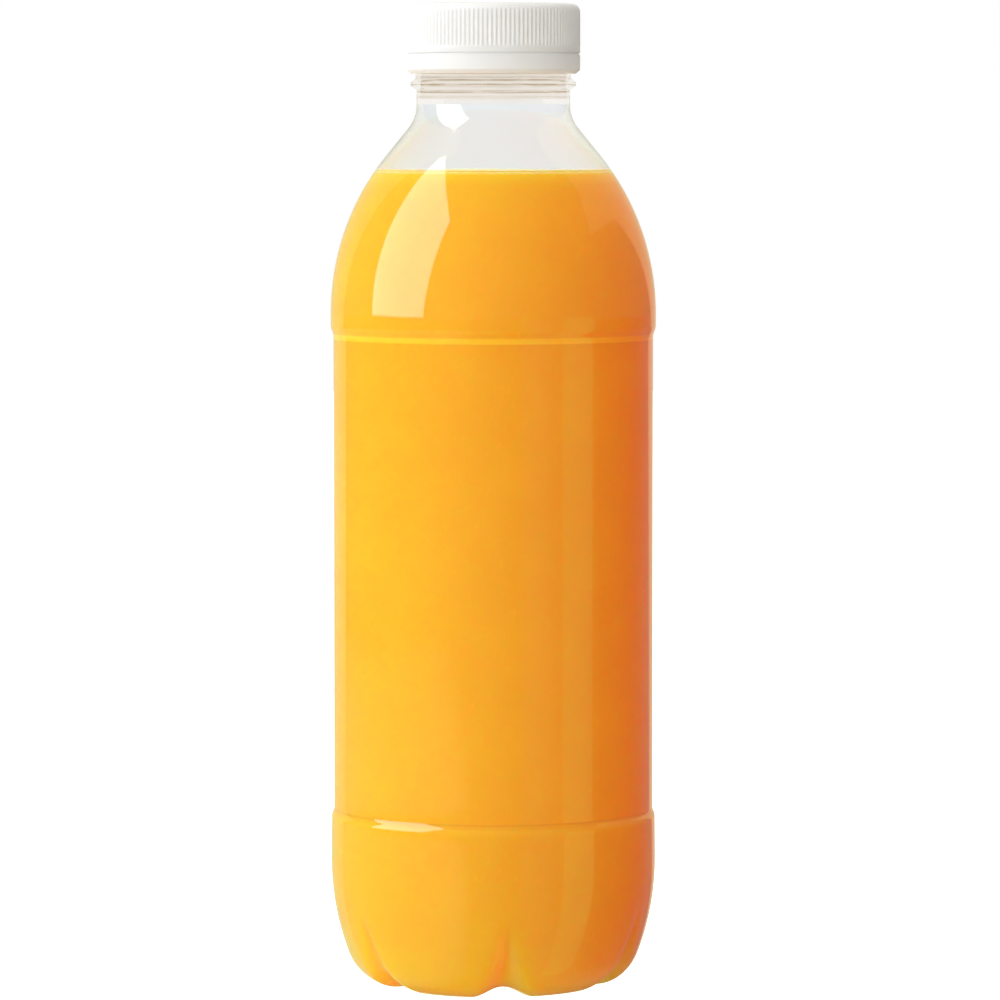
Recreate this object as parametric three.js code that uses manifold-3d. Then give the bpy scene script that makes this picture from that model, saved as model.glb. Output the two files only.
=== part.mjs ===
// A 750 ml bottle of orange juice: a clear blown bottle on six feet, the juice up to its fill
// line, a ribbed white screw cap and the tamper band below the cap.
// Millimetres, +Z up. The origin is on the floor under the middle of the base, and the front
// faces -Y. Angles round the bottle are measured from the front, positive to the viewer's right.

import * as THREE from 'three';
import { mergeVertices } from 'three/addons/utils/BufferGeometryUtils.js';
import Module from 'manifold-3d';

const wasm = await Module();
wasm.setup();

// Clear wall of the blown bottle, and the gap kept between solids that touch
const WALL = 0.45;
const GAP = 0.3;

// Base: side arc, corner under it, flat foot pads, and the dome pushed up in the middle
const BULGE_R = 37.77;
const BULGE_Z = 29.4;
const SIDE_ARC_R = 62;
const CORNER_R = 11.8;
const PAD_WIDTH = 2;
const INNER_CORNER_R = 7;
const DOME_SLOPE = THREE.MathUtils.degToRad(35);
const CORNER_SLOPE = Math.asin((BULGE_Z - CORNER_R) / (SIDE_ARC_R - CORNER_R));
const PAD_OUTER_R = BULGE_R - SIDE_ARC_R + (SIDE_ARC_R - CORNER_R) * Math.cos(CORNER_SLOPE);
const PAD_INNER_R = PAD_OUTER_R - PAD_WIDTH;

// Grooves pressed up between the feet
const FEET = 6;
const FIRST_GROOVE = THREE.MathUtils.degToRad(6);
const GROOVE_TOP_Z = 17;
const GROOVE_DEPTH = 3.2;
const GROOVE_POWER = 1.5;
const GROOVE_HALF_WIDTH = 4.2;

// Straight panel, with a shallow step at each end
const PANEL_R = 37.1;
const LOW_STEP_Z = 39.4;
const LOW_STEP_TOP_Z = 43.2;
const RING_R = 37.7;
const HIGH_STEP_Z = 150.2;
const HIGH_STEP_TOP_Z = 155.2;

// Shoulder: bead, arc, cone and the fillet that runs into the neck
const BEAD_R = 37.72;
const BEAD_Z = 156.5;
const SHOULDER_ARC_R = 58;
const SHOULDER_SLOPE = THREE.MathUtils.degToRad(39.2);
const NECK_R = 17.75;
const NECK_FILLET_R = 8.9;

// Neck: support ring, finish under the cap, and the bore
const SUPPORT_RING_R = 19.1;
const SUPPORT_RING_Z = 209.5;
const SUPPORT_RING_ROOT = 1.3;
const SUPPORT_RING_LIP = 0.35;
const NECK_BAND_R = 18;
const NECK_BAND_TOP_Z = 216.4;
const FINISH_R = 17.7;
const MOUTH_Z = 226.2;
const MOUTH_CHAMFER = 0.5;
const BORE_R = 15.9;
const BORE_END_Z = 204.2;
const FLARE_END_Z = 201;

// Juice
const FILL_Z = 190.4;

// Screw cap and tamper band
const CAP_R = 20.1;
const CAP_TOP_Z = 228;
const CAP_CORNER_R = 1.9;
const CAP_BOTTOM_Z = 216.6;
const CAP_BORE_R = 18.2;
const CAP_LID = 1.5;
const RIB_COUNT = 120;
const RIB_DEPTH = 0.35;
const RIB_LOW_Z = 218.1;
const RIB_HIGH_Z = 226.4;
const BAND_BORE_R = 18.4;
const BAND_BOTTOM_Z = 211.9;
const BAND_TAPER = 1;
const BAND_TAPER_HEIGHT = 0.9;

// Facets: columns round the bottle, drawn together where the grooves are, and round the cap
const COLUMNS = 48;
const COLUMN_PULL = 0.4;
const CAP_COLUMNS = 60;

// Points on a circular arc of an outline, from one angle to another in radians
function arc(centreR, centreZ, radius, from, to, steps) {
  const curve = new THREE.EllipseCurve(centreR, centreZ, radius, radius, from, to, to < from);
  return curve.getPoints(steps);
}

// Points of a soft S-shaped step between two radii
function softStep(lowR, lowZ, highR, highZ, steps) {
  const points = [];
  for (let i = 0; i <= steps; i += 1) {
    const share = i / steps;
    const ease = THREE.MathUtils.smoothstep(share, 0, 1);
    points.push(new THREE.Vector2(
      THREE.MathUtils.lerp(lowR, highR, ease),
      THREE.MathUtils.lerp(lowZ, highZ, share),
    ));
  }
  return points;
}

// Outline of the base from its middle out to the bulge
function baseOutline() {
  const domeEdgeR = PAD_INNER_R - INNER_CORNER_R * Math.sin(DOME_SLOPE);
  const domeEdgeZ = INNER_CORNER_R * (1 - Math.cos(DOME_SLOPE));
  const domeR = domeEdgeR / Math.sin(DOME_SLOPE);
  const domeCentreZ = domeEdgeZ - domeR * Math.cos(DOME_SLOPE);
  const down = -Math.PI / 2;
  return [
    ...arc(0, domeCentreZ, domeR, Math.PI / 2, Math.PI / 2 - DOME_SLOPE, 3),
    ...arc(PAD_INNER_R, INNER_CORNER_R, INNER_CORNER_R, down - DOME_SLOPE, down, 2).slice(1),
    ...arc(PAD_OUTER_R, CORNER_R, CORNER_R, down, -CORNER_SLOPE, 5),
    ...arc(BULGE_R - SIDE_ARC_R, BULGE_Z, SIDE_ARC_R, -CORNER_SLOPE, 0, 3).slice(1),
  ];
}

// Outline of the wall from the bulge up to the waist of the neck
function wallOutline() {
  const arcCentreR = BEAD_R - SHOULDER_ARC_R;
  const filletCentreR = NECK_R + NECK_FILLET_R;
  const coneTopR = arcCentreR + SHOULDER_ARC_R * Math.cos(SHOULDER_SLOPE);
  const coneTopZ = BEAD_Z + SHOULDER_ARC_R * Math.sin(SHOULDER_SLOPE);
  const filletEdgeR = filletCentreR - NECK_FILLET_R * Math.cos(SHOULDER_SLOPE);
  const coneHeight = (coneTopR - filletEdgeR) / Math.tan(SHOULDER_SLOPE);
  const filletCentreZ = coneTopZ + coneHeight + NECK_FILLET_R * Math.sin(SHOULDER_SLOPE);
  return [
    ...softStep(RING_R, LOW_STEP_Z, PANEL_R, LOW_STEP_TOP_Z, 3),
    ...softStep(PANEL_R, HIGH_STEP_Z, BEAD_R, HIGH_STEP_TOP_Z, 3),
    ...arc(arcCentreR, BEAD_Z, SHOULDER_ARC_R, 0, SHOULDER_SLOPE, 7),
    ...arc(filletCentreR, filletCentreZ, NECK_FILLET_R, Math.PI + SHOULDER_SLOPE, Math.PI, 3),
  ];
}

// Outline of the neck above its waist: support ring, then the finish that the cap covers
function neckOutline() {
  return [
    new THREE.Vector2(NECK_R, SUPPORT_RING_Z - SUPPORT_RING_ROOT),
    new THREE.Vector2(SUPPORT_RING_R, SUPPORT_RING_Z - SUPPORT_RING_LIP),
    new THREE.Vector2(SUPPORT_RING_R, SUPPORT_RING_Z + SUPPORT_RING_LIP),
    new THREE.Vector2(NECK_BAND_R, SUPPORT_RING_Z + SUPPORT_RING_ROOT),
    new THREE.Vector2(NECK_BAND_R, NECK_BAND_TOP_Z),
    new THREE.Vector2(FINISH_R, NECK_BAND_TOP_Z + MOUTH_CHAMFER),
    new THREE.Vector2(FINISH_R, MOUTH_Z - MOUTH_CHAMFER),
    new THREE.Vector2(FINISH_R - MOUTH_CHAMFER, MOUTH_Z),
  ];
}

// Depth and half width of the groove at a place on the outline. Both fade out up the side.
// Under the base the groove keeps its width and grows shallow towards the middle.
function groove(point) {
  if (point.y > GROOVE_TOP_Z) {
    return { depth: 0, halfWidth: 0 };
  }
  if (point.x < PAD_OUTER_R) {
    const share = THREE.MathUtils.smoothstep(point.x, 0, PAD_INNER_R);
    return { depth: GROOVE_DEPTH * share, halfWidth: GROOVE_HALF_WIDTH };
  }
  const share = (1 - point.y / GROOVE_TOP_Z) ** GROOVE_POWER;
  return { depth: GROOVE_DEPTH * share, halfWidth: GROOVE_HALF_WIDTH * share };
}

// Stations of an outline: each point with its outward normal and how a groove presses it in
function stations(outline) {
  return outline.map((point, i) => {
    const before = outline[Math.max(i - 1, 0)];
    const after = outline[Math.min(i + 1, outline.length - 1)];
    const along = after.clone().sub(before).normalize();
    const normal = point.x < WALL ? new THREE.Vector2(0, -1) : new THREE.Vector2(along.y, -along.x);
    const { depth, halfWidth } = groove(point);
    const spread = Math.min(Math.PI / FEET, halfWidth / Math.max(point.x, WALL));
    return { point, normal, depth, spread };
  });
}

// The same stations moved into the wall by a distance, keeping the groove in step
function inset(list, distance) {
  return list.map((station) => ({
    ...station,
    point: station.point.clone().addScaledVector(station.normal, -distance),
  }));
}

// Stations that no groove touches
function plain(points) {
  return points.map((point) => ({ point, normal: new THREE.Vector2(1, 0), depth: 0, spread: 0 }));
}

// Joins the seam and the poles of a turned shape, and drops the triangles that the poles flatten
function weld(geometry) {
  geometry.deleteAttribute('normal');
  geometry.deleteAttribute('uv');
  const merged = mergeVertices(geometry, 1e-4);
  const corners = merged.index.array;
  const kept = [];
  for (let i = 0; i < corners.length; i += 3) {
    const [a, b, c] = corners.slice(i, i + 3);
    if (a !== b && b !== c && c !== a) {
      kept.push(a, b, c);
    }
  }
  merged.setIndex(kept);
  return merged;
}

// Turns stations round the axis, gathers the columns at the grooves and presses the grooves in
function turnWithGrooves(list) {
  const outline = list.map((station) => station.point);
  const geometry = new THREE.LatheGeometry(outline, COLUMNS, FIRST_GROOVE);
  const position = geometry.getAttribute('position');
  for (let column = 0; column <= COLUMNS; column += 1) {
    const even = 2 * Math.PI * (column % COLUMNS) / COLUMNS;
    const turn = even - COLUMN_PULL * Math.sin(FEET * even) / FEET;
    const nearest = Math.round(turn * FEET / (2 * Math.PI)) * 2 * Math.PI / FEET;
    const fromGroove = Math.abs(turn - nearest);
    list.forEach((station, row) => {
      const reach = Math.min(fromGroove / Math.max(station.spread, 1e-6), 1);
      const press = station.depth * Math.cos(reach * Math.PI / 2) ** 2;
      const point = station.point.clone().addScaledVector(station.normal, -press);
      const angle = FIRST_GROOVE + turn;
      position.setXYZ(
        column * list.length + row,
        point.x * Math.sin(angle),
        point.y,
        point.x * Math.cos(angle),
      );
    });
  }
  geometry.rotateX(Math.PI / 2);
  return weld(geometry);
}

// Turns a plain closed outline round the axis
function turnPlain(outline, columns) {
  const geometry = new THREE.LatheGeometry(outline, columns);
  geometry.rotateX(Math.PI / 2);
  return weld(geometry);
}

// Closed geometry to a solid that can be joined or cut, and back
function toSolid(geometry) {
  return new wasm.Manifold(new wasm.Mesh({
    numProp: 3,
    vertProperties: new Float32Array(geometry.getAttribute('position').array),
    triVerts: new Uint32Array(geometry.index.array),
  }));
}

function toGeometry(solid) {
  const mesh = solid.getMesh();
  const geometry = new THREE.BufferGeometry();
  geometry.setAttribute('position', new THREE.BufferAttribute(mesh.vertProperties, 3));
  geometry.setIndex(new THREE.BufferAttribute(mesh.triVerts, 1));
  return geometry;
}

// Clear bottle: the outer form with the hollow and the bore cut out of it
function bottleGeometry() {
  const body = stations([...baseOutline(), ...wallOutline()]);
  const outer = [...body, ...plain([...neckOutline(), new THREE.Vector2(0, MOUTH_Z)])];
  const hollow = inset(body, WALL).filter((station) => station.point.y < FLARE_END_Z);
  const bore = [
    new THREE.Vector2(BORE_R, BORE_END_Z),
    new THREE.Vector2(BORE_R, MOUTH_Z + WALL),
    new THREE.Vector2(0, MOUTH_Z + WALL),
  ];
  const inner = [...hollow, ...plain(bore)];
  return toGeometry(toSolid(turnWithGrooves(outer)).subtract(toSolid(turnWithGrooves(inner))));
}

// Juice: fills the bottle to the fill line, clear of the wall by the gap
function juiceGeometry() {
  const body = inset(stations([...baseOutline(), ...wallOutline()]), WALL + GAP);
  const wet = body.filter((station) => station.point.y < FILL_Z);
  const last = wet[wet.length - 1].point;
  const next = body[wet.length].point;
  const share = (FILL_Z - last.y) / (next.y - last.y);
  const rim = new THREE.Vector2(THREE.MathUtils.lerp(last.x, next.x, share), FILL_Z);
  return turnWithGrooves([...wet, ...plain([rim, new THREE.Vector2(0, FILL_Z)])]);
}

// Ring of fine upright ribs round the cap
function ribRing() {
  const shape = new THREE.Shape();
  for (let i = 0; i < RIB_COUNT * 2; i += 1) {
    const radius = i % 2 === 0 ? CAP_R : CAP_R - RIB_DEPTH;
    const angle = Math.PI * i / RIB_COUNT;
    const corner = [radius * Math.cos(angle), radius * Math.sin(angle)];
    if (i === 0) {
      shape.moveTo(...corner);
    } else {
      shape.lineTo(...corner);
    }
  }
  shape.closePath();
  const hole = new THREE.Path();
  hole.absarc(0, 0, (CAP_R + CAP_BORE_R) / 2, 0, 2 * Math.PI, true);
  shape.holes.push(hole);
  const ring = new THREE.ExtrudeGeometry(shape, {
    depth: RIB_HIGH_Z - RIB_LOW_Z,
    bevelEnabled: false,
    curveSegments: CAP_COLUMNS / 2,
  });
  ring.translate(0, 0, RIB_LOW_Z);
  return weld(ring);
}

// Screw cap: a skirt and lid with rounded shoulders, with the ribs joined on
function capGeometry() {
  const rootR = CAP_R - RIB_DEPTH;
  const cornerR = CAP_CORNER_R - RIB_DEPTH;
  const ceilingZ = CAP_TOP_Z - CAP_LID;
  const body = turnPlain([
    new THREE.Vector2(0, ceilingZ),
    new THREE.Vector2(CAP_BORE_R, ceilingZ),
    new THREE.Vector2(CAP_BORE_R, CAP_BOTTOM_Z),
    new THREE.Vector2(CAP_R, CAP_BOTTOM_Z),
    new THREE.Vector2(CAP_R, RIB_LOW_Z),
    new THREE.Vector2(rootR, RIB_LOW_Z + RIB_DEPTH),
    ...arc(rootR - cornerR, CAP_TOP_Z - cornerR, cornerR, 0, Math.PI / 2, 4),
    new THREE.Vector2(0, CAP_TOP_Z),
  ], CAP_COLUMNS);
  return toGeometry(toSolid(body).add(toSolid(ribRing())));
}

// Tamper band: a plain ring whose lower edge draws in towards the neck
function bandGeometry() {
  const topZ = CAP_BOTTOM_Z - GAP;
  const taperZ = BAND_BOTTOM_Z + BAND_TAPER_HEIGHT;
  const outline = [
    new THREE.Vector2(BAND_BORE_R, BAND_BOTTOM_Z),
    new THREE.Vector2(CAP_R - BAND_TAPER, BAND_BOTTOM_Z),
    new THREE.Vector2(CAP_R, taperZ),
    new THREE.Vector2(CAP_R, topZ),
    new THREE.Vector2(BAND_BORE_R, topZ),
  ];
  return turnPlain([...outline, outline[0].clone()], CAP_COLUMNS);
}

const clear = new THREE.MeshStandardMaterial({
  color: '#e9eceb',
  roughness: 0.08,
  metalness: 0,
  transparent: true,
  opacity: 0.35,
});
const orange = new THREE.MeshStandardMaterial({ color: '#f5a828', roughness: 0.35, metalness: 0 });
const white = new THREE.MeshStandardMaterial({ color: '#e6e4e0', roughness: 0.5, metalness: 0 });

const bottle = new THREE.Group();

function addPiece(name, geometry, material) {
  geometry.computeVertexNormals();
  const mesh = new THREE.Mesh(geometry, material);
  mesh.name = name;
  bottle.add(mesh);
}

addPiece('bottle', bottleGeometry(), clear);
addPiece('juice', juiceGeometry(), orange);
addPiece('cap', capGeometry(), white);
addPiece('tamper_band', bandGeometry(), white.clone());

export default bottle;
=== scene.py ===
import math

import bmesh
import bpy
from bpy.props import FloatProperty, FloatVectorProperty, IntProperty, PointerProperty
from mathutils import Matrix, Vector


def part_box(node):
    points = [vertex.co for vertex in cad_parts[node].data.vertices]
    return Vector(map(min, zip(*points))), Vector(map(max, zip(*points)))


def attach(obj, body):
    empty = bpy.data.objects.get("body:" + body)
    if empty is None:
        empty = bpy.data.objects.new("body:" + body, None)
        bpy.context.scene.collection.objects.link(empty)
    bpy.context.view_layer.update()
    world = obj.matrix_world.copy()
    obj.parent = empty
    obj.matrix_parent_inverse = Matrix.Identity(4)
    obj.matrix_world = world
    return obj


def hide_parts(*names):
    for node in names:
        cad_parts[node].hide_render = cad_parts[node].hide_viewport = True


bl_info = {
    "name": "Orange juice bottle",
    "version": (1, 0, 0),
    "blender": (4, 5, 0),
    "location": "View3D > Sidebar > Juice bottle",
    "description": "Builds a clear bottle of orange juice with a ribbed white screw cap",
    "category": "Add Mesh",
}

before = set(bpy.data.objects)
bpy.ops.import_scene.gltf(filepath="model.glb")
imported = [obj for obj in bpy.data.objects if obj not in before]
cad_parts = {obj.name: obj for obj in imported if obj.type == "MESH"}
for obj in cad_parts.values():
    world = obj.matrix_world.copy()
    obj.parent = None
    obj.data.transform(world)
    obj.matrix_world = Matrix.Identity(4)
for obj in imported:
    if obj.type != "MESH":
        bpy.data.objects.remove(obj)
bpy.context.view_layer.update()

MM = 0.001
RIGHT_ANGLE = math.pi / 2
FULL_TURN = 2 * math.pi

# Base: side arc, corner under it, flat foot pads, and the dome pushed up in the middle
BULGE_R = 37.77 * MM
BULGE_Z = 29.4 * MM
SIDE_ARC_R = 62 * MM
CORNER_R = 11.8 * MM
PAD_WIDTH = 2 * MM
INNER_CORNER_R = 7 * MM
DOME_SLOPE = math.radians(35)
CORNER_SLOPE = math.asin((BULGE_Z - CORNER_R) / (SIDE_ARC_R - CORNER_R))
PAD_OUTER_R = BULGE_R - SIDE_ARC_R + (SIDE_ARC_R - CORNER_R) * math.cos(CORNER_SLOPE)
PAD_INNER_R = PAD_OUTER_R - PAD_WIDTH
DOME_EDGE_R = PAD_INNER_R - INNER_CORNER_R * math.sin(DOME_SLOPE)
DOME_EDGE_Z = INNER_CORNER_R * (1 - math.cos(DOME_SLOPE))
DOME_R = DOME_EDGE_R / math.sin(DOME_SLOPE)
DOME_CENTRE_Z = DOME_EDGE_Z - DOME_R * math.cos(DOME_SLOPE)

# Height up to which the grooves between the feet run, how fast they fade on the way, and how
# near the axis their width still counts
GROOVE_TOP_Z = 19 * MM
GROOVE_POWER = 0.9
GROOVE_LEAST_R = 1 * MM

# Straight panel, with a shallow step at each end
RING_R = 37.7 * MM
LOW_STEP_Z = 39.4 * MM
LOW_STEP_TOP_Z = 41.6 * MM
PANEL_R = 37.1 * MM
HIGH_STEP_Z = 151 * MM
HIGH_STEP_TOP_Z = 153.8 * MM

# Painted light: a pale line in the juice at each step, standing in for light that the step catches. A
# height, the shares of it below the step where the line comes in and above the step where it ends, and
# how pale it is
STEP_LINE = 1.4 * MM
STEP_LINE_RISE = (-0.4, -0.2)
STEP_LINE_FALL = (0.5, 0.8)
LOW_STEP_PAINTED_LIGHT = 0.1
HIGH_STEP_PAINTED_LIGHT = 0.75

# Heights between which the painted shade of a darker band over the low step comes and goes
PAINTED_CREASE_RISE = (40.95 * MM, 41.15 * MM)
PAINTED_CREASE_FALL = (41.4 * MM, 41.6 * MM)

# Shoulder: bead, arc, cone and the fillet that runs into the neck
BEAD_R = 37.72 * MM
BEAD_Z = 156.5 * MM
SHOULDER_ARC_R = 58 * MM
SHOULDER_SLOPE = math.radians(39.2)
NECK_R = 17.75 * MM
NECK_FILLET_R = 8.9 * MM
SHOULDER_CENTRE_R = BEAD_R - SHOULDER_ARC_R
CONE_R = SHOULDER_CENTRE_R + SHOULDER_ARC_R * math.cos(SHOULDER_SLOPE)
CONE_Z = BEAD_Z + SHOULDER_ARC_R * math.sin(SHOULDER_SLOPE)
FILLET_CENTRE_R = NECK_R + NECK_FILLET_R
FILLET_EDGE_R = FILLET_CENTRE_R - NECK_FILLET_R * math.cos(SHOULDER_SLOPE)
CONE_LENGTH = (CONE_R - FILLET_EDGE_R) / math.sin(SHOULDER_SLOPE)
CONE_TOP_Z = CONE_Z + CONE_LENGTH * math.cos(SHOULDER_SLOPE)
FILLET_CENTRE_Z = CONE_TOP_Z + NECK_FILLET_R * math.sin(SHOULDER_SLOPE)

# Neck: support ring, finish under the cap, and the bore with the flare below it
SUPPORT_RING_R = 19.1 * MM
SUPPORT_RING_Z = 209.5 * MM
SUPPORT_RING_ROOT = 1.3 * MM
SUPPORT_RING_LIP = 0.35 * MM
NECK_BAND_R = 18 * MM
NECK_BAND_TOP_Z = 216.4 * MM
FINISH_R = 17.7 * MM
MOUTH_Z = 226.2 * MM
BORE_R = 16.9 * MM
BORE_END_Z = 208.4 * MM
FLARE_END_Z = 206 * MM
NECK_ROUNDING = 0.25 * MM

# How strongly each material bends light
WALL_BENDING = 1.57
NECK_BENDING = 1.035
JUICE_BENDING = 1.18
CAP_BENDING = 1.49

# Level bands in the neck, partly streak marks in the plastic and partly painted shade under the cap,
# band
# and support ring: lowest and highest height, and how deep each is. They wander up and down a little,
# and their edges take up a share of their height
NECK_STREAKS_AND_PAINTED_SHADE = (
    (210.2 * MM, 211.6 * MM, 0.3),
    (209.1 * MM, 209.6 * MM, 1),
    (207.65 * MM, 207.95 * MM, 1),
    (206.4 * MM, 206.8 * MM, 0.25),
)
STREAK_WANDER = 0.12 * MM
STREAK_EDGE = 0.3

# Free surface of the juice: how high it climbs at the wall, and at what slope it meets it
MENISCUS_CLIMB = 0.5 * MM
MENISCUS_SLOPE = math.radians(60)

# Juice near its free surface: how deep the layer of painted light and the painted highlight at the wall
# reach, and the highlight's edge, which leaves the free surface clear
PAINTED_TOP_LIGHT_DEPTH = 4 * MM
PAINTED_HIGHLIGHT_DEPTH = 0.8 * MM
PAINTED_HIGHLIGHT_EDGE = (0.04 * MM, 0.01 * MM)

# Patterns in the materials: spots to the metre, detail, and how their place is stretched
SCUFFS = (900, 4, (1, 1, 0.35))
WAVES = (60, 1)
WANDER = (90, 1)
STREAK_PATCHES = (160, 2, (1, 1, 6))
CLOUDS = (45, 3)
PULP = (1400, 2, (1, 1, 0.4))
HIGHLIGHT_BREAKS = (500, 2)
FLOW = (120, 3, (1, 1, 3))
FINE_GRAIN = (6000, 2)
FLOOR_PATCHES = (12, 3)

# Part of a pattern's range over which it comes in
SCUFFS_RISE = (0.55, 0.75)
WAVES_RISE = (0.3, 0.7)
PATCHES_RISE = (0.3, 0.6)
CLOUDS_RISE = (0.3, 0.7)
PULP_RISE = (0.58, 0.8)
HIGHLIGHT_BREAKS_RISE = (0.35, 0.6)
FLOW_RISE = (0.35, 0.7)

# Brightness of the darker places of each material, as a share of its colour's
PLASTIC_SHADE = 0.985
JUICE_SHADE = 0.94
# The darker band over the low step is painted shade
PAINTED_CREASE_SHADE = 0.84
CAP_SHADE = 0.97
FLOOR_SHADE = 0.98

# How much lighter the juice is painted just under its free surface, as painted light from above, and at
# a bit of pulp
TOP_PAINTED_LIGHT = 0.25
PULP_PALE = 0.15

# Painted highlight where the juice climbs the wall: the share of the climb where it is full, and how
# much of it lies below the free surface
PAINTED_HIGHLIGHT_CLIMB = 0.7
PAINTED_HIGHLIGHT_BELOW = 0.7

# How much of the painted highlight is left between its breaks, and of a streak in its gaps
PAINTED_HIGHLIGHT_LEAST = 0.75
STREAK_LEAST = 0.4

# Roughness of each surface, and what a pattern on it adds
WALL_ROUGHNESS = 0.025
NECK_ROUGHNESS = 0.08
SCUFF_ROUGHNESS = 0.04
JUICE_ROUGHNESS = 0.32
PULP_ROUGHNESS = 0.1
CAP_ROUGHNESS = 0.42
GRAIN_ROUGHNESS = 0.12
FLOOR_ROUGHNESS = 0.6

# Fine relief of each material: how strongly it shows, and its height
WAVE_RELIEF = (0.12, 0.2 * MM)
PULP_RELIEF = (0.1, 0.05 * MM)
GRAIN_RELIEF = (0.15, 0.02 * MM)

# Light inside the juice and the cap: the share of light that goes in, a depth, and how far red,
# green and blue spread, as shares of that depth
JUICE_SOFTNESS = 1
JUICE_DEPTH = 400 * MM
JUICE_SPREAD = (1, 0.06, 0.006)
CAP_SOFTNESS = 0.48
CAP_DEPTH = 60 * MM
CAP_SPREAD = (1, 0.985, 0.97)

WHITE = (1, 1, 1, 1)

# Numbers of the sockets of a Mix node that carry colours
MIX_FIRST = 6
MIX_SECOND = 7
MIX_RESULT = 2

# Screw cap
CAP_CORNER_R = 1.9 * MM
CAP_BORE_R = 18.2 * MM
CAP_LID = 1.5 * MM
RIB_LOW_Z = 218.1 * MM
RIB_HIGH_Z = 226.4 * MM
RIB_FADE = 0.5 * MM
RIB_FLANK = (0.15, 0.85)
COLUMNS_PER_RIB = 10
CAP_EDGE = 0.2 * MM

# Tamper band, and the seam between it and the cap, which a thin collar closes further in
BAND_BORE_R = 18.4 * MM
BAND_TAPER = 1 * MM
BAND_TAPER_HEIGHT = 0.9 * MM
SEAM_DEPTH = 0.35 * MM
SEAM_GAP = 0.03 * MM
BAND_EDGE = 0.1 * MM

# Steps of the stretches of the outlines, from the middle of the base upwards
DOME_STEPS = 12
INNER_CORNER_STEPS = 8
PAD_STEPS = 2
CORNER_STEPS = 16
SIDE_STEPS = 10
RING_STEPS = 4
STEP_ARC_STEPS = 6
PANEL_STEPS = 24
SHOULDER_STEPS = 26
CONE_STEPS = 3
FILLET_STEPS = 12
MENISCUS_STEPS = 6
SURFACE_STEPS = 8
RIB_END_STEPS = 4
RIB_STEPS = 6
CAP_CORNER_STEPS = 10
LID_STEPS = 6

# Steps of the full turn, the equal sectors it is made in, and how close doubles lie
SHELL_STEPS = 288
BAND_STEPS = 192
SECTORS = 12
MERGE = 0.001 * MM

# Camera and floor
CAMERA_SENSOR = 36
FLOOR_R = 3
FLOOR_SIDES = 64

# Light patches of the studio round the bottle. A corner is an azimuth from the camera's side,
# positive to its right, and an elevation, in degrees.
SOFTBOX = ((-50.5, -1), (-40.3, 41), (-91.5, 61.2), (-97, 57), (-95, -1))
TONGUE = ((86, 26.5), (93, 37), (110, 45), (120, 22))
CARD = ((51, -55), (76, -55), (76, -1), (51, -1))
PATCH_BLUR = 0.02

# Two corners on each edge of the backdrop, and a place inside it
BACKDROP_EDGES = (
    ((-132, 0), (-113.6, 39.5)),
    ((148, -1), (117, 24)),
    ((98, 30), (98, 60)),
)
INSIDE_BACKDROP = (180, 5)

# Where the mirrored parts of the studio fade in, along the direction that each is named for
HORIZON = (-0.03, -0.02)
BACKDROP_HALVES = (-0.1, 0.1)
GLINT_LEFT = (0.1, 0.7)
GLINT_DOWN = (-0.075, -0.125)
TABLE_RIGHT = (0, 1)
LIT_BEHIND = (0.5, 1)

# How sharply the key light falls off to its sides
KEY_POWER = 3


class BottleSizes(bpy.types.PropertyGroup):
    """Sizes of the clear bottle and of the juice in it"""

    wall: FloatProperty(
        name="Wall",
        description="Thickness of the blown wall",
        default=0.45 * MM,
        subtype="DISTANCE",
        unit="LENGTH",
        precision=5,
    )
    feet: IntProperty(
        name="Feet",
        description="Number of feet round the base, with a groove between each two",
        default=6,
        min=3,
    )
    first_groove: FloatProperty(
        name="First groove",
        description="Angle of the first groove from the front, to the viewer's right",
        default=math.radians(5),
        subtype="ANGLE",
        unit="ROTATION",
    )
    groove_depth: FloatProperty(
        name="Groove depth",
        description="How deep a groove is pressed in where the bottle stands",
        default=2.5 * MM,
        subtype="DISTANCE",
        unit="LENGTH",
        precision=5,
    )
    groove_half_width: FloatProperty(
        name="Groove half width",
        description="From the middle of a groove to where a foot begins, at the floor",
        default=7.5 * MM,
        subtype="DISTANCE",
        unit="LENGTH",
        precision=5,
    )
    fill_height: FloatProperty(
        name="Fill height",
        description="Height of the juice's free surface above the floor",
        default=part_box("juice")[1].z - 1 * MM,
        subtype="DISTANCE",
        unit="LENGTH",
        precision=5,
    )


class ClosureSizes(bpy.types.PropertyGroup):
    """Sizes of the screw cap and the tamper band"""

    radius: FloatProperty(
        name="Radius",
        description="Outer radius of the cap and the band",
        default=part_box("tamper_band")[1].x,
        subtype="DISTANCE",
        unit="LENGTH",
        precision=5,
    )
    cap_top: FloatProperty(
        name="Cap top",
        description="Height of the cap's lid above the floor",
        default=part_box("cap")[1].z,
        subtype="DISTANCE",
        unit="LENGTH",
        precision=5,
    )
    cap_bottom: FloatProperty(
        name="Cap bottom",
        description="Height of the cap's lower edge above the floor",
        default=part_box("cap")[0].z,
        subtype="DISTANCE",
        unit="LENGTH",
        precision=5,
    )
    band_top: FloatProperty(
        name="Band top",
        description="Height of the band's upper edge above the floor",
        default=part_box("tamper_band")[1].z,
        subtype="DISTANCE",
        unit="LENGTH",
        precision=5,
    )
    band_bottom: FloatProperty(
        name="Band bottom",
        description="Height of the band's lower edge above the floor",
        default=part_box("tamper_band")[0].z,
        subtype="DISTANCE",
        unit="LENGTH",
        precision=5,
    )
    ribs: IntProperty(
        name="Ribs",
        description="Number of grip ribs round the cap",
        default=120,
        min=12,
    )
    rib_depth: FloatProperty(
        name="Rib depth",
        description="Depth of the valley between two ribs",
        default=0.26 * MM,
        subtype="DISTANCE",
        unit="LENGTH",
        precision=5,
    )


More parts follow.
